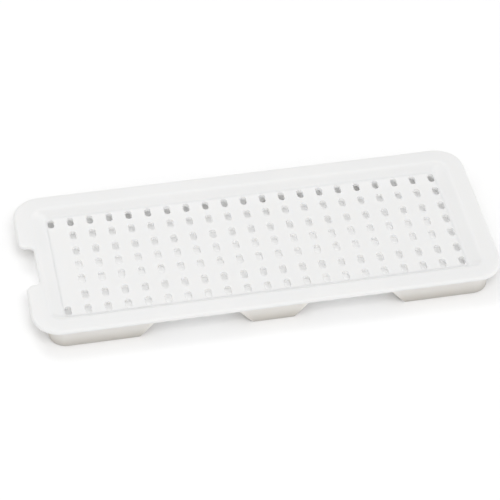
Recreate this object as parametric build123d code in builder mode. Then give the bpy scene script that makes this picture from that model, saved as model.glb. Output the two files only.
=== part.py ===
"""Queen excluder for a small bee hive: a shallow slotted tray on six hollow feet.

The real object is one white injection moulding.  Here its features are separate
solids that meet face to face: the slotted panel, the sloped wall round it, the
flat rim, six feet and two stiffening ribs.

Frame: millimetres, +Z up.  The origin is on the floor under the middle of the
panel, +X runs along the tray, and the notch is in the -X end of the rim.
"""

from build123d import *
from math import hypot
import os

# Heights above the floor
panel_under = 8.5
panel_top = 11.5
rim_under = 14.0
rim_top = 16.5

# Slots: a worker bee passes 4.3 mm, a queen does not
slot_width = 4.3
slot_length = 8.2
columns = 21
slot_pitch = 14.0
rib_room = 1.6  # more space between the two rows that have a rib between them
slot_margin_x = 1.85  # from the last slots to the edge of the panel
slot_margin_y = 2.3
panel_corner = 3.0

# Sloped wall from the panel's edge up to the crest of the rim
end_slope_run = 9.0
side_slope_run = 5.0
crest_corner = 8.0
wall_back_corner = 9.0

# Rim
rim_length = 331.7
rim_width = 136.4
rim_corner = 20.0
rim_top_round = 2.0
rim_under_round = 0.3

# Notch in the left end of the rim
notch_width = 37.0
notch_depth = 9.8
notch_shift = -0.5
notch_mouth_round = 6.0
notch_inner_round = 3.5

# Feet: hollow blocks under the rim, open at the bottom
side_overhang = 2.0  # the rim overhangs the feet by this much along its long sides
end_overhang = 10.4
foot_corner = 12.0
foot_wall = 2.2
foot_run = 11.5  # how far a foot's end slopes in, from the rim to the floor
toe_round = 2.0
middle_foot_half = 27.0  # at the rim
corner_foot_start = 81.2  # from the middle of the tray to where a corner foot starts
end_arch_half = 16.0  # half of the arch under each end, at the rim

# Ribs
rib_height = 2.5
rib_thickness = 2.0

first_column = -slot_pitch * (columns - 1) / 2
row_offsets = [0, slot_pitch, 2 * slot_pitch + rib_room, 3 * slot_pitch + rib_room]
row_places = row_offsets + [-offset for offset in row_offsets[1:]]
rib_offset = (row_offsets[1] + row_offsets[2]) / 2
panel_half_x = -first_column + slot_width / 2 + slot_margin_x
panel_half_y = row_offsets[-1] + slot_length / 2 + slot_margin_y
panel_thickness = panel_top - panel_under
foot_half_x = rim_length / 2 - end_overhang
foot_half_y = rim_width / 2 - side_overhang
slope_wall = foot_wall * hypot(rim_under, foot_run) / rim_under


def slot_places():
    """Centres of the slots; the first column has only its first and last slot."""
    places = []
    for column in range(columns):
        for y in row_places:
            if column > 0 or abs(y) == row_offsets[-1]:
                places.append((first_column + column * slot_pitch, y))
    return places


def slotted_panel():
    """The flat panel inside the rim, with its slots."""
    with BuildPart() as panel:
        with BuildSketch(Plane.XY.offset(panel_under)):
            RectangleRounded(2 * panel_half_x, 2 * panel_half_y, panel_corner)
            with Locations(*slot_places()):
                SlotOverall(slot_length, slot_width, rotation=90, mode=Mode.SUBTRACT)
        extrude(amount=panel_thickness)
    return panel.part


def pan(low, high):
    """A solid between two outlines, each given as height, half length, half width and corner."""
    with BuildPart() as solid:
        for height, half_x, half_y, corner in (low, high):
            with BuildSketch(Plane.XY.offset(height)):
                RectangleRounded(2 * half_x, 2 * half_y, corner)
        loft()
    return solid.part


def block(low, high, half_x, half_y, corner):
    """An upright block with rounded corners, from one height to another."""
    with BuildPart() as solid:
        with BuildSketch(Plane.XY.offset(low)):
            RectangleRounded(2 * half_x, 2 * half_y, corner)
        extrude(amount=high - low)
    return solid.part


def wall_back(panel_half, run, height):
    """Half size of the outside of the sloped wall at a height, as thick as the panel."""
    rise = rim_top - panel_top
    return panel_half + run * (height - panel_top) / rise + panel_thickness * hypot(run, rise) / rise


def wall_outline(height):
    """Half length and half width of the outside of the sloped wall at a height."""
    return (
        wall_back(panel_half_x, end_slope_run, height),
        wall_back(panel_half_y, side_slope_run, height),
    )


def tray():
    """The tray below the rim as one solid: the panel, the sloped wall and the room inside them."""
    return pan(
        (panel_under, *wall_outline(panel_under), panel_corner),
        (rim_under, *wall_outline(rim_under), wall_back_corner),
    )


def sloped_wall():
    """The wall that rises from the panel's edge to the crest of the rim."""
    crest = (panel_half_x + end_slope_run, panel_half_y + side_slope_run)
    with BuildPart() as wall:
        add(tray())
        add(block(rim_under, rim_top, *wall_outline(rim_under), wall_back_corner))
        add(
            pan((panel_top, panel_half_x, panel_half_y, panel_corner), (rim_top, *crest, crest_corner)),
            mode=Mode.SUBTRACT,
        )
        add(block(panel_under, panel_top, panel_half_x, panel_half_y, panel_corner), mode=Mode.SUBTRACT)
    return wall.part


def rim():
    """The flat rim round the top, with its rounded edge and the notch."""
    left = -rim_length / 2
    with BuildPart() as ring:
        with BuildSketch(Plane.XY.offset(rim_under)) as outline:
            RectangleRounded(rim_length, rim_width, rim_corner)
            with Locations((left, notch_shift)):
                Rectangle(2 * notch_depth, notch_width, mode=Mode.SUBTRACT)
            corners = outline.vertices().filter_by(
                lambda v: abs(v.Y - notch_shift) < notch_width / 2 + 0.1 and v.X < left + notch_depth + 0.1
            )
            fillet(corners.filter_by(lambda v: v.X > left + notch_depth - 0.1), notch_inner_round)
            mouth = outline.vertices().filter_by(
                lambda v: abs(v.X - left) < 0.01 and abs(v.Y - notch_shift) < notch_width / 2 + 0.1
            )
            fillet(mouth, notch_mouth_round)
        extrude(amount=rim_top - rim_under)
        fillet(ring.faces().sort_by(Axis.Z)[-1].outer_wire().edges(), rim_top_round)
        fillet(ring.faces().sort_by(Axis.Z)[0].outer_wire().edges(), rim_under_round)
        add(block(rim_under, rim_top, *wall_outline(rim_under), wall_back_corner), mode=Mode.SUBTRACT)
    return ring.part


def middle_block(y_side, inset):
    """A trapezoid block under the middle of a long side, drawn in by inset on every side."""
    half = middle_foot_half - (slope_wall if inset else 0)
    outer = foot_half_y - inset
    inner = panel_half_y + inset
    with BuildPart() as solid:
        with BuildSketch(Plane.XZ.offset(-y_side * outer)) as profile:
            with BuildLine():
                Polyline(
                    (-half, rim_under),
                    (half, rim_under),
                    (half - foot_run, 0),
                    (foot_run - half, 0),
                    close=True,
                )
            make_face()
            fillet(profile.vertices().group_by(Axis.Y)[0], toe_round)
        extrude(amount=y_side * (outer - inner))
    return solid.part


def wedge(plane, depth, side, start):
    """The air under a foot's sloped end, as deep as depth; side says which way the foot lies."""
    with BuildPart() as air:
        with BuildSketch(plane):
            with BuildLine():
                Polyline(
                    (side * (start - 1), rim_under),
                    (side * start, rim_under),
                    (side * (start + foot_run), 0),
                    (side * (start - 1), 0),
                    close=True,
                )
            make_face()
        extrude(amount=depth)
    return air.part


def corner_block(x_side, y_side, inset):
    """An L-shaped block under one corner of the rim, drawn in by inset on every side."""
    start_x = corner_foot_start + (slope_wall if inset else 0)
    start_y = end_arch_half + (slope_wall if inset else 0)
    with BuildPart() as solid:
        with BuildSketch():
            RectangleRounded(2 * (foot_half_x - inset), 2 * (foot_half_y - inset), foot_corner - inset)
            with Locations((x_side * (start_x + rim_length) / 2, y_side * (start_y + rim_width) / 2)):
                Rectangle(rim_length - start_x, rim_width - start_y, mode=Mode.INTERSECT)
            Rectangle(2 * (panel_half_x + inset), 2 * (panel_half_y + inset), mode=Mode.SUBTRACT)
        extrude(amount=rim_under)
        add(wedge(Plane.XZ.offset(-rim_width / 2), rim_width, x_side, start_x), mode=Mode.SUBTRACT)
        add(wedge(Plane.YZ, x_side * rim_length / 2, y_side, start_y), mode=Mode.SUBTRACT)
    return solid.part


def foot(outside, core):
    """A hollow foot: the block less its core and less the tray that it carries."""
    with BuildPart() as shell:
        add(outside)
        add(core, mode=Mode.SUBTRACT)
        add(tray(), mode=Mode.SUBTRACT)
    return shell.part


def rib(y):
    """A stiffening rib under the panel, between two rows of slots."""
    with BuildPart() as bar:
        with Locations((0, y, panel_under)):
            Box(2 * panel_half_x, rib_thickness, rib_height, align=(Align.CENTER, Align.CENTER, Align.MAX))
        fillet(bar.edges().filter_by(Axis.X).group_by(Axis.Z)[0], rib_thickness * 0.4)
    return bar.part


pieces = {"slotted_panel": slotted_panel(), "sloped_wall": sloped_wall(), "rim": rim()}
for y_name, y_side in (("front", -1), ("rear", 1)):
    pieces[y_name + "_middle_foot"] = foot(middle_block(y_side, 0), middle_block(y_side, foot_wall))
    for x_name, x_side in (("left", -1), ("right", 1)):
        pieces[f"{y_name}_{x_name}_foot"] = foot(
            corner_block(x_side, y_side, 0), corner_block(x_side, y_side, foot_wall)
        )
    pieces[y_name + "_rib"] = rib(y_side * rib_offset)

os.makedirs("parts", exist_ok=True)
for name, piece in pieces.items():
    piece.label = name
    export_step(piece, f"parts/{name}.step")
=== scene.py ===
"""Looks of a moulded queen excluder: a slotted tray with a raised rim on hollow feet.

Lengths are in millimetres until a mesh is made, and MM turns them into metres.
The frame is the CAD's: origin on the floor under the middle, notch in the -X end.
"""

import math

import bmesh
import bpy
from mathutils import Matrix, Vector
from mathutils.geometry import delaunay_2d_cdt


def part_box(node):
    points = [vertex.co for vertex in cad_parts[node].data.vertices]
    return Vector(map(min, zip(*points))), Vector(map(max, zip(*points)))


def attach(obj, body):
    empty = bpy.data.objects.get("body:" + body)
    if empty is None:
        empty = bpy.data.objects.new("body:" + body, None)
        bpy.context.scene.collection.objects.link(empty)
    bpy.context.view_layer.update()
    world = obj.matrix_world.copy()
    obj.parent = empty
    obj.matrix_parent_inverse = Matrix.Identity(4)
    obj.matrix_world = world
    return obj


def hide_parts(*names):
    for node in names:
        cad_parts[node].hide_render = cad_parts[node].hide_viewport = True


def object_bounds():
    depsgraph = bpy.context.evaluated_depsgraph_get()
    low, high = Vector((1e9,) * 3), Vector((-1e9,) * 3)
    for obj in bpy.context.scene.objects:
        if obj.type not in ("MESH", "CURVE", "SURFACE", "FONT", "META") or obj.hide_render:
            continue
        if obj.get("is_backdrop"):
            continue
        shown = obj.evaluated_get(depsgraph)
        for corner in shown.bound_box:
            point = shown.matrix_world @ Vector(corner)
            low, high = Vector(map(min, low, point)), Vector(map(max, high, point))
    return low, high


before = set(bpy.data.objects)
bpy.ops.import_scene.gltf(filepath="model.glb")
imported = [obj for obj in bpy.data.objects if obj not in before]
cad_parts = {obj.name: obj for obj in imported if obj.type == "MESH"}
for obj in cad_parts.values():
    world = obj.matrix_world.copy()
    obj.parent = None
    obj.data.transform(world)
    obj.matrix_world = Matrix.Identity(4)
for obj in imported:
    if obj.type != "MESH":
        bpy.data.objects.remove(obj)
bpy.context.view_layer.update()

MM = 0.001
BODY = "root"

# --- sizes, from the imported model's boxes -----------------------------------------------------
panel_low, panel_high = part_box("slotted_panel")
rim_low, rim_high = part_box("rim")
corner_foot_low, corner_foot_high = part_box("rear_right_foot")
middle_foot_low, middle_foot_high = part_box("rear_middle_foot")
rib_low, rib_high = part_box("rear_rib")

PANEL_X, PANEL_Y = panel_high.x / MM, panel_high.y / MM
PANEL_UNDER, PANEL_TOP = panel_low.z / MM, panel_high.z / MM
RIM_X, RIM_Y = rim_high.x / MM, rim_high.y / MM
RIM_UNDER, RIM_TOP = rim_low.z / MM, rim_high.z / MM
FOOT_X, FOOT_Y = corner_foot_high.x / MM, corner_foot_high.y / MM
FOOT_START = corner_foot_low.x / MM
ARCH_HALF = corner_foot_low.y / MM
MIDDLE_HALF = middle_foot_high.x / MM
RIB_Y = (rib_low.y + rib_high.y) / 2 / MM
RIB_UNDER = rib_low.z / MM

# --- sizes that the CAD source gives ------------------------------------------------------------
PITCH = 14.0
RIB_ROOM = 1.6
COLUMNS = 21
SLOT_WIDTH, SLOT_LENGTH = 4.3, 8.2
END_RUN, SIDE_RUN = 9.0, 5.0  # the sloped wall's runs
FOOT_WALL = 2.2
FOOT_RUN = 11.5
PANEL_CORNER, RIM_CORNER, FOOT_CORNER = 3.0, 20.0, 12.0
NOTCH_WIDTH, NOTCH_DEPTH, NOTCH_SHIFT = 37.0, 9.8, -0.5
NOTCH_MOUTH, NOTCH_INNER = 6.0, 3.5
RISE = RIM_TOP - PANEL_TOP


# --- mesh helpers ---------------------------------------------------------------------------------
def lerp(a, b, t):
    return a + (b - a) * t


def smooth(t):
    t = min(1.0, max(0.0, t))
    return t * t * (3 - 2 * t)


def new_piece(name, vertices, faces, sharp_angle, replaced):
    """A piece from points in millimetres, smooth but for edges over sharp_angle degrees."""
    mesh = bpy.data.meshes.new(name)
    work = bmesh.new()
    made = [work.verts.new((x * MM, y * MM, z * MM)) for x, y, z in vertices]
    for face in faces:
        corners = []
        for i in face:
            if made[i] not in corners:
                corners.append(made[i])
        if len(corners) > 2:
            work.faces.new(corners)
    bmesh.ops.remove_doubles(work, verts=work.verts, dist=1e-6)
    bmesh.ops.dissolve_degenerate(work, dist=1e-7, edges=work.edges)
    bmesh.ops.recalc_face_normals(work, faces=work.faces)
    for face in work.faces:
        face.smooth = True
    for edge in work.edges:
        if len(edge.link_faces) == 2:
            edge.smooth = edge.calc_face_angle(0.0) < math.radians(sharp_angle)
    work.to_mesh(mesh)
    work.free()
    piece = bpy.data.objects.new(name, mesh)
    bpy.context.scene.collection.objects.link(piece)
    weighted = piece.modifiers.new("even_shading", "WEIGHTED_NORMAL")
    weighted.keep_sharp = True
    weighted.weight = 50
    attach(piece, BODY)
    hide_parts(*replaced)
    return piece


def arc_points(centre, radius, start, turn, count):
    """Points along an arc, from the angle start through turn degrees, ends included."""
    points = []
    for k in range(count + 1):
        a = math.radians(start + turn * k / count)
        points.append((centre[0] + radius * math.cos(a), centre[1] + radius * math.sin(a)))
    return points


def straight_points(a, b, count):
    """Points strictly between a and b."""
    shares = [k / (count + 1) for k in range(1, count + 1)]
    return [(lerp(a[0], b[0], t), lerp(a[1], b[1], t)) for t in shares]


# --- the outlines that the tray is drawn through --------------------------------------------------
CORNER_STEPS = 14
END_STEPS = 4
SIDE_STEPS = 24
NOTCH_STEPS = 8
EVEN_SHARE = 0.2  # how far the points facing the notch are spread evenly along the end
NOTCH_REACH, NOTCH_FADE = 30.0, 6.0  # how far the notch has effect, and over what length that ends


def notch_side(inset):
    """The left end between its corners, from the rear to the front, along the notch's edge."""
    outer, inner = -RIM_X + inset, -RIM_X + NOTCH_DEPTH + inset
    rear, front = NOTCH_SHIFT + NOTCH_WIDTH / 2 + inset, NOTCH_SHIFT - NOTCH_WIDTH / 2 - inset
    mouth, tight = NOTCH_MOUTH - inset, NOTCH_INNER + inset
    end = RIM_Y - RIM_CORNER
    rear_mouth = arc_points((outer + mouth, rear + mouth), mouth, 180, 90, NOTCH_STEPS)
    rear_inner = arc_points((inner - tight, rear - tight), tight, 90, -90, NOTCH_STEPS)
    front_inner = arc_points((inner - tight, front + tight), tight, 0, -90, NOTCH_STEPS)
    front_mouth = arc_points((outer + mouth, front - mouth), mouth, 90, 90, NOTCH_STEPS)
    points = straight_points((outer, end), rear_mouth[0], END_STEPS) + rear_mouth + rear_inner
    points += straight_points(rear_inner[-1], front_inner[0], SIDE_STEPS) + front_inner + front_mouth
    return points + straight_points(front_mouth[-1], (outer, -end), END_STEPS)


def plain_side(half_x, straight):
    """The left end with no notch: as many points as notch_side, at nearly the same places."""
    path = notch_side(0.0)
    points = []
    for k, (_, y) in enumerate(path):
        along = y / (RIM_Y - RIM_CORNER)
        evenly = 1 - 2 * (k + 1) / (len(path) + 1)
        points.append((-half_x, straight * ((1 - EVEN_SHARE) * along + EVEN_SHARE * evenly)))
    return points


def outline(half_x, half_y, radius, left_side):
    """A rounded rectangle, counter-clockwise from the right end, with the given left side."""
    cx, cy = half_x - radius, half_y - radius
    points = [(half_x, -cy)] + straight_points((half_x, -cy), (half_x, cy), SIDE_STEPS)
    points += arc_points((cx, cy), radius, 0, 90, CORNER_STEPS)
    points += straight_points((cx, half_y), (-cx, half_y), SIDE_STEPS)
    points += arc_points((-cx, cy), radius, 90, 90, CORNER_STEPS)
    points += left_side
    points += arc_points((-cx, -cy), radius, 180, 90, CORNER_STEPS)
    points += straight_points((-cx, -half_y), (cx, -half_y), SIDE_STEPS)
    points += arc_points((cx, -cy), radius, 270, 90, CORNER_STEPS)[:-1]
    return points


def plain_outline(half_x, half_y, radius):
    return outline(half_x, half_y, radius, plain_side(half_x, half_y - radius))


def rim_outline(inset):
    """The rim's edge drawn in by inset, with the notch."""
    return outline(RIM_X - inset, RIM_Y - inset, RIM_CORNER - inset, notch_side(inset))


def side_weights():
    """For each point of an outline, 0 at the two ends, 1 along the two sides, between in the corners."""
    rise = [smooth(k / CORNER_STEPS) for k in range(CORNER_STEPS + 1)]
    fall = rise[::-1]
    ends = [0.0] * len(notch_side(0.0))
    weights = [0.0] * (SIDE_STEPS + 1) + rise + [1.0] * SIDE_STEPS + fall + ends
    return weights + rise + [1.0] * SIDE_STEPS + fall[:-1]


def notch_nearness():
    """For each point of an outline, 1 along the notch and 0 away from it."""
    side = [smooth((NOTCH_REACH - abs(y - NOTCH_SHIFT)) / NOTCH_FADE) for _, y in notch_side(0.0)]
    before = (SIDE_STEPS + 1) + 2 * (CORNER_STEPS + 1) + SIDE_STEPS
    return [0.0] * before + side + [0.0] * (2 * CORNER_STEPS + 1 + SIDE_STEPS)


def eased(points, tangents, steps):
    """A line through points whose inner corners are rounded, with a rounding's reach before and after."""
    line = [points[0]]
    for k in range(1, len(points) - 1):
        before, corner, after = (Vector(points[k + d]) for d in (-1, 0, 1))
        first = corner + (before - corner).normalized() * tangents[k - 1][0]
        last = corner + (after - corner).normalized() * tangents[k - 1][1]
        for j in range(steps + 1):
            t = j / steps
            line.append(tuple(first * (1 - t) ** 2 + corner * 2 * t * (1 - t) + last * t * t))
    line.append(points[-1])
    return line


# --- the tray: rim and sloped wall in one, and the panel --------------------------------------------
SEAM = 1.05  # the rim piece reaches this far in over the panel's edge
CROWN, CROWN_REACH = 0.28, 7.5  # the rim's top falls away towards its edge
EDGE_ROUND, NOTCH_EDGE_ROUND = 1.9, 1.5
UNDER_ROUND = 0.35
# the reach of each rounding before and after its corner
VALLEY_EASE, CREST_EASE = (0.95, 2.2), (2.6, 1.3)
BACK_TOP_EASE, BACK_LOW_EASE = (0.6, 0.6), (0.5, 0.5)
UPPER_STEPS, LOWER_STEPS = 6, 4
CREST_FLAT = 0.1  # the flat left between the crest's rounding and the rim's top
BACK_FLAT = 0.8  # the flat under the rim between its edge and the back of the wall
CREST_CORNER_REACH = 2.0  # the crest's corner grows no more from here outwards
RIM_TOP_STEPS, EDGE_STEPS, UNDER_STEPS = 8, 6, 3
PANEL_THICK = PANEL_TOP - PANEL_UNDER


def back_of_wall(run, height):
    """How far outside the panel's edge the outside of the sloped wall is at a height."""
    return run * (height - PANEL_TOP) / RISE + PANEL_THICK * math.hypot(run, RISE) / RISE


def upper_section(run):
    """From the panel's edge up the sloped wall to the crest: distance outwards and height."""
    end = run + CREST_EASE[1] + CREST_FLAT
    corners = [(-SEAM, PANEL_TOP), (0, PANEL_TOP), (run, RIM_TOP), (end, RIM_TOP)]
    return eased(corners, (VALLEY_EASE, CREST_EASE), UPPER_STEPS)


def lower_section(run):
    """From under the rim down the outside of the sloped wall to the panel's underside."""
    corners = [
        (back_of_wall(run, RIM_UNDER) + BACK_FLAT, RIM_UNDER),
        (back_of_wall(run, RIM_UNDER), RIM_UNDER),
        (back_of_wall(run, PANEL_UNDER), PANEL_UNDER),
        (-SEAM, PANEL_UNDER),
    ]
    return eased(corners, (BACK_TOP_EASE, BACK_LOW_EASE), LOWER_STEPS)


def section_rings(section):
    """Rings of points along a section, with its own run at the ends and the sides."""
    weights = side_weights()
    rings = []
    for (end_out, end_z), (side_out, side_z) in zip(section(END_RUN), section(SIDE_RUN)):
        radius = PANEL_CORNER + min(side_out, SIDE_RUN + CREST_CORNER_REACH)
        flat = plain_outline(PANEL_X + end_out, PANEL_Y + side_out, radius)
        rings.append([(x, y, lerp(end_z, side_z, w)) for (x, y), w in zip(flat, weights)])
    return rings


def crown(distance):
    """How far the rim's top lies below its highest, at a distance from its edge."""
    return CROWN * max(0.0, 1 - distance / CROWN_REACH) ** 2


def rim_rings(crest):
    """Rings from the crest over the rim's top and round its edge to its underside."""
    edge = rim_outline(0.0)
    inward = [(b[0] - a[0], b[1] - a[1]) for a, b in zip(edge, rim_outline(1.0))]
    rounds = [lerp(EDGE_ROUND, NOTCH_EDGE_ROUND, n) for n in notch_nearness()]
    tops = [RIM_TOP - crown(r) for r in rounds]
    rings = []
    for step in range(1, RIM_TOP_STEPS):
        t = step / RIM_TOP_STEPS
        points = []
        for (cx, cy, _), (x, y), (ix, iy), r in zip(crest, edge, inward, rounds):
            start = (x + ix * r, y + iy * r)
            px, py = lerp(cx, start[0], t), lerp(cy, start[1], t)
            away = r + math.hypot(px - start[0], py - start[1])
            points.append((px, py, RIM_TOP - crown(away)))
        rings.append(points)
    for step in range(EDGE_STEPS + 1):
        a = math.radians(90 * step / EDGE_STEPS)
        points = []
        for (x, y), (ix, iy), r, top in zip(edge, inward, rounds, tops):
            d = r * (1 - math.sin(a))
            points.append((x + ix * d, y + iy * d, top - r * (1 - math.cos(a))))
        rings.append(points)
    for step in range(UNDER_STEPS + 1):
        a = math.radians(90 * step / UNDER_STEPS)
        d, z = UNDER_ROUND * (1 - math.cos(a)), RIM_UNDER + UNDER_ROUND * (1 - math.sin(a))
        rings.append([(x + ix * d, y + iy * d, z) for (x, y), (ix, iy) in zip(edge, inward)])
    return rings


def loft(rings, closed):
    """Points and four-cornered faces of rings joined in order, and last to first if closed."""
    count = len(rings[0])
    vertices = [p for points in rings for p in points]
    faces = []
    for k in range(len(rings) if closed else len(rings) - 1):
        a, b = k * count, (k + 1) % len(rings) * count
        for i in range(count):
            j = (i + 1) % count
            faces.append((a + i, a + j, b + j, b + i))
    return vertices, faces


upper = section_rings(upper_section)
rings = upper + rim_rings(upper[-1]) + section_rings(lower_section)
vertices, faces = loft(rings, closed=True)
rim = new_piece("raised_rim", vertices, faces, 40, ["rim", "sloped_wall"])


SLOT_STEPS = 14
SLOT_TOP_ROUND, SLOT_UNDER_ROUND = 0.55, 0.35
SLOT_TOP_STEPS, SLOT_UNDER_STEPS = 4, 3
FLAT_BAND = 0.1  # a narrow flat band round each slot, so that the rounding's shading ends there
CLOSE, NEAR = 1e-6, 1e-5


def slot_outline(cx, cy, grow, z):
    """A slot's outline at a height, grown by grow, counter-clockwise from its right side."""
    half, reach = SLOT_WIDTH / 2 + grow, (SLOT_LENGTH - SLOT_WIDTH) / 2
    points = arc_points((cx, cy + reach), half, 0, 180, SLOT_STEPS)
    points += arc_points((cx, cy - reach), half, 180, 180, SLOT_STEPS)
    return [(x, y, z) for x, y in points]


def between(border, ring):
    """Triangles between a cell's border and the slot's ring in it, numbered through both in turn."""
    count = len(border)
    points = [Vector(p[:2]) for p in border + ring]
    loops = [(i, (i + 1) % count) for i in range(count)]
    loops += [(count + i, count + (i + 1) % len(ring)) for i in range(len(ring))]
    _, _, triangles, origins, _, _ = delaunay_2d_cdt(points, loops, [], 0, NEAR)
    faces = [tuple(origins[i][0] for i in face) for face in triangles]
    return [face for face in faces if min(face) < count]


def slot_rings(cx, cy):
    """A slot's wall: a rounded edge at the top, a straight run and a small rounded edge below."""
    rings = [slot_outline(cx, cy, SLOT_TOP_ROUND + FLAT_BAND, PANEL_TOP)]
    for step in range(SLOT_TOP_STEPS + 1):
        a = math.radians(90 * step / SLOT_TOP_STEPS)
        z = PANEL_TOP - SLOT_TOP_ROUND * (1 - math.cos(a))
        rings.append(slot_outline(cx, cy, SLOT_TOP_ROUND * (1 - math.sin(a)), z))
    for step in range(SLOT_UNDER_STEPS + 1):
        a = math.radians(90 * step / SLOT_UNDER_STEPS)
        z = PANEL_UNDER + SLOT_UNDER_ROUND * (1 - math.sin(a))
        rings.append(slot_outline(cx, cy, SLOT_UNDER_ROUND * (1 - math.cos(a)), z))
    return rings + [slot_outline(cx, cy, SLOT_UNDER_ROUND + FLAT_BAND, PANEL_UNDER)]


def build_panel():
    """The slotted panel, cell by cell; the outer cells end where the rim piece begins."""
    half_x, half_y, radius = PANEL_X - SEAM, PANEL_Y - SEAM, PANEL_CORNER - SEAM

    def on_edge(x, y):
        """Whether a point lies on the panel's own outline, and not between two cells."""
        past_x, past_y = abs(x) - half_x + radius, abs(y) - half_y + radius
        if past_x > 0 and past_y > 0:
            return math.hypot(past_x, past_y) > radius - CLOSE
        return max(past_x, past_y) > radius - CLOSE

    xs = [(k - COLUMNS / 2) * PITCH for k in range(1, COLUMNS)]
    xs = [-half_x] + xs + [half_x]
    rows = [0.0, PITCH, 2 * PITCH + RIB_ROOM, 3 * PITCH + RIB_ROOM]
    rows = [-y for y in rows[:0:-1]] + rows
    ys = [-half_y] + [(a + b) / 2 for a, b in zip(rows, rows[1:])] + [half_y]
    vertices, faces = [], []
    for column in range(COLUMNS):
        for row, slot_y in enumerate(rows):
            x0, x1, y0, y1 = xs[column], xs[column + 1], ys[row], ys[row + 1]
            slot_x = (column - (COLUMNS - 1) / 2) * PITCH
            border = []
            for x, y, start in ((x1, y1, 0), (x0, y1, 90), (x0, y0, 180), (x1, y0, 270)):
                if abs(x) == half_x and abs(y) == half_y:
                    centre = (x - math.copysign(radius, x), y - math.copysign(radius, y))
                    border += arc_points(centre, radius, start, 90, CORNER_STEPS)
                else:
                    border.append((x, y))
            slotted = column > 0 or row in (0, len(rows) - 1)
            top = len(vertices)
            vertices += [(x, y, PANEL_TOP) for x, y in border]
            under = len(vertices)
            vertices += [(x, y, PANEL_UNDER) for x, y in border]
            count = under - top
            for i in range(count):
                j = (i + 1) % count
                if on_edge(*border[i]) and on_edge(*border[j]):
                    faces.append((top + i, under + i, under + j, top + j))
            if not slotted:
                faces.append(tuple(range(top, under)))
                faces.append(tuple(range(len(vertices) - 1, under - 1, -1)))
                continue
            rings = slot_rings(slot_x, slot_y)
            walls, wall_faces = loft(rings, closed=False)
            wall = len(vertices)
            vertices += walls
            faces += [tuple(wall + i for i in face) for face in wall_faces]
            last = wall + len(walls) - len(rings[-1])
            for level, ring_start, ring in ((top, wall, rings[0]), (under, last, rings[-1])):
                for face in between(border, ring):
                    faces.append(tuple(level + i if i < count else ring_start + i - count for i in face))
    return vertices, faces


vertices, faces = build_panel()
panel = new_piece("slotted_grille", vertices, faces, 40, ["slotted_panel"])


# --- the hollow feet --------------------------------------------------------------------------------
TOE_ROUND = 0.7
DRAFT = 0.2  # how much a foot narrows from the rim to the floor
EMBED = 0.8  # how far a foot's wall runs up into the tray
ROOT_FLARE, ROOT_FLARE_LOW = 0.5, 0.15  # the fillet where a foot's outside meets the rim
# levels down a foot's outside, as shares of its height, and how far the wall stands out at each
FOOT_LEVELS = (1.0, 0.0), (0.985, ROOT_FLARE), (0.965, ROOT_FLARE_LOW), (0.93, 0.0), (0.6, 0.0), (0.3, 0.0)
EDGE_SOFT, EDGE_SOFT_LEAST, ELBOW = 1.8, 0.3, 1.0  # radii of a foot's upright edges and of its inner elbow
FOOT_ARC_STEPS, FOOT_STRAIGHT_STEPS = 7, 9
TOE_STEPS, INNER_TOE_STEPS = 4, 3
INNER_TOE_ROUND = 0.6 * TOE_ROUND


def rounded_polygon(points, radii, arc_steps, straight_steps):
    """A closed loop through points, counter-clockwise, whose corners are arcs of the given radii."""
    count = len(points)
    arcs = []
    for k in range(count):
        before, corner, after = (Vector(points[(k + d) % count]) for d in (-1, 0, 1))
        to_before, to_after = (before - corner).normalized(), (after - corner).normalized()
        reach = radii[k] / math.tan(to_before.angle(to_after) / 2)
        first, last = corner + to_before * reach, corner + to_after * reach
        centre = corner + (to_before + to_after).normalized() * math.hypot(reach, radii[k])
        turn = (first - centre).angle_signed(last - centre)
        arc = []
        for j in range(arc_steps + 1):
            spoke = (first - centre).copy()
            spoke.rotate(Matrix.Rotation(-turn * j / arc_steps, 2))
            arc.append(tuple(centre + spoke))
        arcs.append(arc)
    loop = []
    for k in range(count):
        loop += arcs[k]
        loop += straight_points(arcs[k][-1], arcs[(k + 1) % count][0], straight_steps)
    return loop


def tray_underside(x, y):
    """Height of the tray's underside over a point, from the outside of the sloped wall."""
    side = PANEL_UNDER + (abs(y) - PANEL_Y - back_of_wall(SIDE_RUN, PANEL_UNDER)) * RISE / SIDE_RUN
    end = PANEL_UNDER + (abs(x) - PANEL_X - back_of_wall(END_RUN, PANEL_UNDER)) * RISE / END_RUN
    return min(RIM_UNDER, max(PANEL_UNDER, side, end))


def corner_plan(height, inset):
    """The plan of the rear right foot at a height, drawn in by inset."""
    slope = FOOT_RUN * (1 - height / RIM_UNDER)
    lean = inset * math.hypot(RIM_UNDER, FOOT_RUN) / RIM_UNDER
    start, arch = FOOT_START + slope + lean, ARCH_HALF + slope + lean
    x0, x1, y0, y1 = PANEL_X + inset, FOOT_X - inset, PANEL_Y + inset, FOOT_Y - inset
    points = [(start, y0), (x0, y0), (x0, arch), (x1, arch), (x1, y1), (start, y1)]
    soft = max(EDGE_SOFT_LEAST, EDGE_SOFT - inset)
    radii = [soft, ELBOW + inset, soft, soft, FOOT_CORNER - inset, soft]
    return rounded_polygon(points, radii, FOOT_ARC_STEPS, FOOT_STRAIGHT_STEPS)


def middle_plan(height, inset):
    """The plan of the rear middle foot at a height, drawn in by inset."""
    lean = inset * math.hypot(RIM_UNDER, FOOT_RUN) / RIM_UNDER
    half = MIDDLE_HALF - FOOT_RUN * (1 - height / RIM_UNDER) - lean
    y0, y1 = PANEL_Y + inset, FOOT_Y - inset
    soft = max(EDGE_SOFT_LEAST, EDGE_SOFT - inset)
    points = [(-half, y0), (half, y0), (half, y1), (-half, y1)]
    return rounded_polygon(points, [soft] * 4, FOOT_ARC_STEPS, FOOT_STRAIGHT_STEPS)


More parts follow.
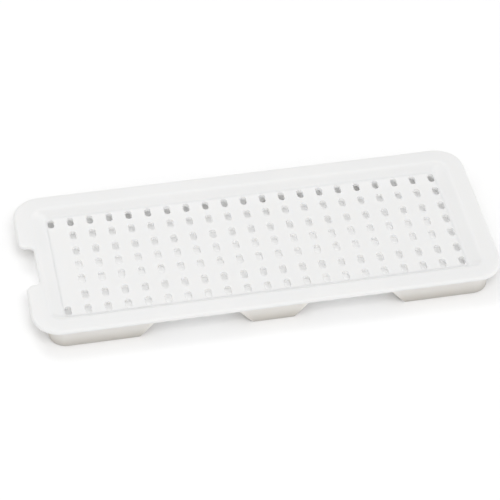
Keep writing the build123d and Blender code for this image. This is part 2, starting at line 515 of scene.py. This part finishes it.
def foot_rings(plan):
    """A foot's wall: down its outside, round its rim on the floor and up its inside."""

    def ring_at(share, inset, drop=0.0):
        """A ring at a share of the foot's height, drawn in by inset and lowered by drop."""
        low, high = plan(0.0, inset + DRAFT), plan(RIM_UNDER, inset)
        points = []
        for (x0, y0), (x1, y1) in zip(low, high):
            top = tray_underside(x1, y1) + EMBED
            z = TOE_ROUND + (top - TOE_ROUND) * share - drop
            t = z / RIM_UNDER
            points.append((lerp(x0, x1, t), lerp(y0, y1, t), z))
        return points

    rings = [ring_at(share, -flare) for share, flare in FOOT_LEVELS]
    for step in range(TOE_STEPS + 1):
        a = math.radians(90 * step / TOE_STEPS)
        rings.append(ring_at(0.0, TOE_ROUND * (1 - math.cos(a)), TOE_ROUND * math.sin(a)))
    for step in range(INNER_TOE_STEPS + 1):
        a = math.radians(90 * step / INNER_TOE_STEPS)
        inset = FOOT_WALL - DRAFT - INNER_TOE_ROUND * (1 - math.sin(a))
        rings.append(ring_at(0.0, inset, TOE_ROUND - INNER_TOE_ROUND * (1 - math.cos(a))))
    for share in (0.3, 0.6, 1.0):
        rings.append(ring_at(share, FOOT_WALL))
    return rings


def build_foot(name, plan, x_side, y_side, node):
    """One hollow foot, mirrored to its place."""
    rings = [[(x * x_side, y * y_side, z) for x, y, z in points] for points in foot_rings(plan)]
    vertices, faces = loft(rings, closed=True)
    return new_piece(name, vertices, faces, 50, [node])


feet = []
for y_name, y_side in (("front", -1), ("rear", 1)):
    feet.append(build_foot(f"{y_name}_middle_foot_shell", middle_plan, 1, y_side, f"{y_name}_middle_foot"))
    for x_name, x_side in (("left", -1), ("right", 1)):
        where = f"{y_name}_{x_name}_foot"
        feet.append(build_foot(where + "_shell", corner_plan, x_side, y_side, where))


# --- the ribs -----------------------------------------------------------------------------------------
RIB_HALF_TOP, RIB_HALF_LOW = 1.05, 0.85
RIB_END = PANEL_X - 0.4
RIB_END_ROUND, RIB_END_REACH = 0.35, 0.4
# the half width of a rib, and the height that goes with it, from its root to its lower edge
RIB_SECTION = (
    (RIB_HALF_TOP + 0.5, PANEL_UNDER + 0.3),
    (RIB_HALF_TOP + 0.25, PANEL_UNDER - 0.15),
    (RIB_HALF_TOP, PANEL_UNDER - 0.6),
    (RIB_HALF_LOW, RIB_UNDER + 0.5),
    (RIB_HALF_LOW - 0.15, RIB_UNDER + 0.15),
    (RIB_HALF_LOW - 0.5, RIB_UNDER),
)


def build_rib(name, y, node):
    """A rib under the panel: a tapered bar with rounded lower edges and a fillet at its root."""
    profile = [*RIB_SECTION, *((-a, z) for a, z in RIB_SECTION[::-1])]
    inner_end = RIB_END - RIB_END_REACH
    rings = []
    ends = (-RIB_END, RIB_END_ROUND), (-inner_end, 0.0), (inner_end, 0.0), (RIB_END, RIB_END_ROUND)
    for x, draw_in in ends:
        shrink = 1 - draw_in
        rings.append([(x, y + a * shrink, z + (draw_in if z < PANEL_UNDER else 0)) for a, z in profile])
    vertices, faces = loft(rings, closed=False)
    count = len(profile)
    faces.append(tuple(range(count)))
    faces.append(tuple(range(len(vertices) - count, len(vertices))))
    return new_piece(name, vertices, faces, 50, [node])


ribs = []
for y_name, y_side in (("front", -1), ("rear", 1)):
    ribs.append(build_rib(f"{y_name}_rib_bar", y_side * RIB_Y, f"{y_name}_rib"))


# --- materials ------------------------------------------------------------------------------------------
def node(tree, kind, **values):
    made = tree.nodes.new(kind)
    for key, value in values.items():
        if key in made.inputs.keys():
            made.inputs[key].default_value = value
        else:
            setattr(made, key, value)
    return made


def within(tree, coordinate, limit, soft):
    """1 where the size of a coordinate is under limit, 0 beyond limit + soft, both in millimetres."""
    size = node(tree, "ShaderNodeMath", operation="ABSOLUTE")
    tree.links.new(coordinate, size.inputs[0])
    share = node(tree, "ShaderNodeMapRange", interpolation_type="SMOOTHSTEP")
    share.inputs["From Min"].default_value = (limit + soft) * MM
    share.inputs["From Max"].default_value = limit * MM
    tree.links.new(size.outputs["Value"], share.inputs["Value"])
    return share.outputs["Result"]


def ramp(tree, value, start, full, most):
    """0 up to start, rising smoothly to most at full."""
    rise = node(tree, "ShaderNodeMapRange", interpolation_type="SMOOTHSTEP")
    rise.inputs["From Min"].default_value = start
    rise.inputs["From Max"].default_value = full
    rise.inputs["To Max"].default_value = most
    tree.links.new(value, rise.inputs["Value"])
    return rise.outputs["Result"]


def combined(tree, operation, first, second):
    """The result of a Math node on two sockets."""
    made = node(tree, "ShaderNodeMath", operation=operation)
    tree.links.new(first, made.inputs[0])
    tree.links.new(second, made.inputs[1])
    return made.outputs["Value"]


def blended(tree, factor, colour, other):
    """A colour socket turned towards another colour, given as numbers, by a factor."""
    mix = node(tree, "ShaderNodeMix", data_type="RGBA")
    mix.inputs["B"].default_value = (*other, 1)
    tree.links.new(factor, mix.inputs["Factor"])
    tree.links.new(colour, mix.inputs["A"])
    return mix.outputs["Result"]


def moulded_plastic(name, tone, warm_tone, translucency, depth):
    """White polypropylene: a satin skin with fine moulding texture and faint changes of tone.

    Gives the material, its shader, the tone's socket and a node with the place on the object;
    the caller links the tone to the shader.
    """
    material = bpy.data.materials.new(name)
    material.use_nodes = True
    tree = material.node_tree
    tree.nodes.clear()
    out = node(tree, "ShaderNodeOutputMaterial")
    skin = node(tree, "ShaderNodeBsdfPrincipled")
    tree.links.new(skin.outputs["BSDF"], out.inputs["Surface"])
    place = node(tree, "ShaderNodeTexCoord")
    flow = node(tree, "ShaderNodeTexNoise", Scale=28.0, Detail=3.0)
    tree.links.new(place.outputs["Object"], flow.inputs["Vector"])
    tint = node(tree, "ShaderNodeMix", data_type="RGBA")
    tint.inputs["A"].default_value = (*tone, 1)
    tint.inputs["B"].default_value = (*warm_tone, 1)
    tree.links.new(flow.outputs["Fac"], tint.inputs["Factor"])
    grain = node(tree, "ShaderNodeTexNoise", Scale=1800.0, Detail=2.0)
    tree.links.new(place.outputs["Object"], grain.inputs["Vector"])
    rough = node(tree, "ShaderNodeMapRange")
    rough.inputs["To Min"].default_value = 0.42
    rough.inputs["To Max"].default_value = 0.52
    tree.links.new(grain.outputs["Fac"], rough.inputs["Value"])
    tree.links.new(rough.outputs["Result"], skin.inputs["Roughness"])
    bump = node(tree, "ShaderNodeBump", Strength=0.08, Distance=0.00005)
    tree.links.new(grain.outputs["Fac"], bump.inputs["Height"])
    tree.links.new(bump.outputs["Normal"], skin.inputs["Normal"])
    skin.inputs["IOR"].default_value = 1.49
    skin.inputs["Specular IOR Level"].default_value = 0.4
    skin.inputs["Subsurface Weight"].default_value = translucency
    skin.inputs["Subsurface Radius"].default_value = (1.0, 0.95, 0.88)
    skin.inputs["Subsurface Scale"].default_value = depth
    axes = node(tree, "ShaderNodeSeparateXYZ")
    tree.links.new(place.outputs["Object"], axes.inputs["Vector"])
    return material, skin, tint.outputs["Result"], axes


TRAY_TONES = (0.78, 0.78, 0.778), (0.77, 0.77, 0.765)
# painted shade: the feet are the tray's plastic, and this warmer tint stands in for the colour their shaded
# faces take
FOOT_TONES = (0.83, 0.805, 0.765), (0.815, 0.79, 0.75)
FOOT_LOW = (0.46, 0.43, 0.39)  # less light reaches a foot's plastic near the floor
PALE = (0.97, 0.968, 0.96)  # surfaces that light reaches from within the plastic
SLOPE_PALE = (0.86, 0.86, 0.857)  # slopes that face the rear or the right, lit from within
TILT_START, END_TILT, SIDE_TILT = 0.03, 0.45, 0.6  # a normal's X or Y from where to where that comes in
END_SHARE = 0.545  # the share of it on slopes that face the right
TRAY_SCATTER = 0.3, 0.003  # weight of subsurface scattering, and its depth in metres
FOOT_SCATTER, INNER_SCATTER = (0.8, 0.006), 0.1
LOW_REACH = 4.0  # a foot's low tone would be full this far under the floor
TOP_LAYER, TOP_FADE = 0.9, 0.8  # a slot's wall turns pale this far down
WALL_ROOM, WALL_FADE = 1.0, 3.0
FACE_DEPTH, FACE_FADE = 1.6, 1.2  # from a foot's end face to where its side in the arch is pale

tray_plastic, skin, colour, _ = moulded_plastic("white_polypropylene", *TRAY_TONES, *TRAY_SCATTER)
tree = skin.id_data
surface = node(tree, "ShaderNodeNewGeometry")
facing = node(tree, "ShaderNodeSeparateXYZ")
tree.links.new(surface.outputs["Normal"], facing.inputs["Vector"])
tilt_x = ramp(tree, facing.outputs["X"], TILT_START, END_TILT, END_SHARE)
tilt_y = ramp(tree, facing.outputs["Y"], TILT_START, SIDE_TILT, 1.0)
glowing = blended(tree, combined(tree, "MAXIMUM", tilt_x, tilt_y), colour, SLOPE_PALE)
tree.links.new(glowing, skin.inputs["Base Color"])

panel_plastic, skin, colour, place = moulded_plastic("grille_polypropylene", *TRAY_TONES, *TRAY_SCATTER)
tree = skin.id_data
below = within(tree, place.outputs["Z"], PANEL_TOP - TOP_LAYER, TOP_FADE)
tree.links.new(blended(tree, below, colour, PALE), skin.inputs["Base Color"])

foot_plastic, skin, colour, place = moulded_plastic("foot_polypropylene", *FOOT_TONES, *FOOT_SCATTER)
tree = skin.id_data
x, y, z = (place.outputs[axis] for axis in "XYZ")
low = within(tree, z, -LOW_REACH, RIM_UNDER + LOW_REACH)
colour = blended(tree, low, colour, FOOT_LOW)
inner_x = within(tree, x, PANEL_X + WALL_ROOM, WALL_FADE)
inner_y = within(tree, y, PANEL_Y + WALL_ROOM, WALL_FADE)
arch_x = within(tree, x, FOOT_X - FACE_DEPTH, FACE_FADE)
arch_y = within(tree, y, ARCH_HALF + FOOT_RUN, WALL_FADE)
inner = combined(tree, "MULTIPLY", inner_x, inner_y)
arch_side = combined(tree, "MULTIPLY", arch_x, arch_y)
pale = combined(tree, "MAXIMUM", inner, arch_side)
tree.links.new(blended(tree, pale, colour, PALE), skin.inputs["Base Color"])
scatter = node(tree, "ShaderNodeMapRange")
scatter.inputs["To Min"].default_value = FOOT_SCATTER[0]
scatter.inputs["To Max"].default_value = INNER_SCATTER
tree.links.new(pale, scatter.inputs["Value"])
tree.links.new(scatter.outputs["Result"], skin.inputs["Subsurface Weight"])

rim.data.materials.append(tray_plastic)
for piece in [panel, *ribs]:
    piece.data.materials.append(panel_plastic)
for piece in feet:
    piece.data.materials.append(foot_plastic)

# --- floor, light and camera ------------------------------------------------------------------------------
bpy.ops.mesh.primitive_plane_add(size=6.0, location=(0, 0, 0))
floor = bpy.context.object
floor.name = "floor"
paper = bpy.data.materials.new("pale_floor")
paper.use_nodes = True
paper_skin = paper.node_tree.nodes["Principled BSDF"]
paper_skin.inputs["Base Color"].default_value = (0.93, 0.93, 0.93, 1)
paper_skin.inputs["Roughness"].default_value = 0.9
paper_skin.inputs["Specular IOR Level"].default_value = 0.1
floor.data.materials.append(paper)
floor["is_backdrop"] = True

SKY_STRENGTH, SKY_BEHIND = 0.83, 0.03  # the studio is darker low down behind the object
SKY_FADE = 0.05, 0.65  # where it turns dark, as a direction's Y less its Z

world = bpy.data.worlds.new("studio")
bpy.context.scene.world = world
world.use_nodes = True
tree = world.node_tree
sky = tree.nodes["Background"]
sky.inputs["Strength"].default_value = SKY_STRENGTH
direction = node(tree, "ShaderNodeTexCoord")
split = node(tree, "ShaderNodeSeparateXYZ")
tree.links.new(direction.outputs["Generated"], split.inputs["Vector"])
lowness = combined(tree, "SUBTRACT", split.outputs["Y"], split.outputs["Z"])
behind = node(tree, "ShaderNodeMapRange", interpolation_type="SMOOTHSTEP")
behind.inputs["From Min"].default_value, behind.inputs["From Max"].default_value = SKY_FADE
behind.inputs["To Min"].default_value = 1.0
behind.inputs["To Max"].default_value = SKY_BEHIND
tree.links.new(lowness, behind.inputs["Value"])
tree.links.new(behind.outputs["Result"], sky.inputs["Color"])


def area_light(name, place, target, size, power):
    data = bpy.data.lights.new(name, "AREA")
    data.shape = "DISK"
    data.size = size
    data.energy = power
    light = bpy.data.objects.new(name, data)
    bpy.context.scene.collection.objects.link(light)
    light.location = place
    light.rotation_mode = "QUATERNION"
    light.rotation_quaternion = (Vector(target) - Vector(place)).to_track_quat("-Z", "Y")
    return light


area_light("key", (0.1, -1.1, 1.85), (0, 0, 0), 1.3, 12.1)
area_light("fill", (-0.3, 1.3, 1.62), (0, 0, 0), 1.1, 7.2)

GLOW_FLUX = 0.94  # watts for each square metre of plastic that lets light through
GLOW_GAP = 0.2  # below the plastic
REAR_ROOM = 6.0  # the panel's glow ends this far from its rear edge
PANEL_SPREAD, FULL_SPREAD = 115, 180


def glow(name, x, y, z, size_x, size_y, share, spread):
    """Light that a flat stretch of the translucent tray lets through to the floor under it."""
    data = bpy.data.lights.new(name, "AREA")
    data.shape = "RECTANGLE"
    data.size, data.size_y = size_x * MM, size_y * MM
    data.spread = math.radians(spread)
    data.energy = GLOW_FLUX * share * data.size * data.size_y
    light = bpy.data.objects.new(name, data)
    bpy.context.scene.collection.objects.link(light)
    light.location = (x * MM, y * MM, z * MM)
    light.visible_camera = False


panel_z, rim_z = PANEL_UNDER - GLOW_GAP, RIM_UNDER - GLOW_GAP
glow("panel_glow", 0, -REAR_ROOM / 2, panel_z, 2 * PANEL_X, 2 * PANEL_Y - REAR_ROOM, 0.84, PANEL_SPREAD)
end_middle, end_width = (RIM_X + FOOT_X) / 2 + 0.5, RIM_X - FOOT_X - 2
side_length = RIM_Y - NOTCH_WIDTH / 2 - 8
for y_name, y_side in (("front", -1), ("rear", 1)):
    end_y = y_side * (NOTCH_WIDTH / 2 + side_length / 2 + 2)
    glow(f"left_{y_name}_glow", -end_middle, end_y, rim_z, end_width, side_length, 0.7, FULL_SPREAD)
# the sloped wall behind the notch
glow("notch_glow", -PANEL_X - 6, NOTCH_SHIFT + 6, PANEL_UNDER - 0.3, 11, NOTCH_WIDTH, 1.7, FULL_SPREAD)
glow("right_end_glow", end_middle, 0, rim_z, end_width, 2 * RIM_Y - 20, 0.5, FULL_SPREAD)
glow("front_glow", 0, -(FOOT_Y - 5), rim_z, 2 * FOOT_START, 8, 0.8, FULL_SPREAD)

camera_data = bpy.data.cameras.new("camera")
camera_data.sensor_width = 36.0
camera_data.lens = 164.5
camera_data.clip_start = 0.1
camera_data.clip_end = 20.0
camera = bpy.data.objects.new("camera", camera_data)
bpy.context.scene.collection.objects.link(camera)
eye = Vector((-0.25725, -1.1330, 1.14113))
aim = Vector((-0.00529, -0.00727, 0.0115))
camera.location = eye
camera.rotation_mode = "QUATERNION"
roll = Matrix.Rotation(math.radians(1.74), 3, "Z").to_quaternion()
camera.rotation_quaternion = (aim - eye).to_track_quat("-Z", "Y") @ roll
bpy.context.scene.camera = camera
bpy.context.scene.view_settings.view_transform = "Standard"

low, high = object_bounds()
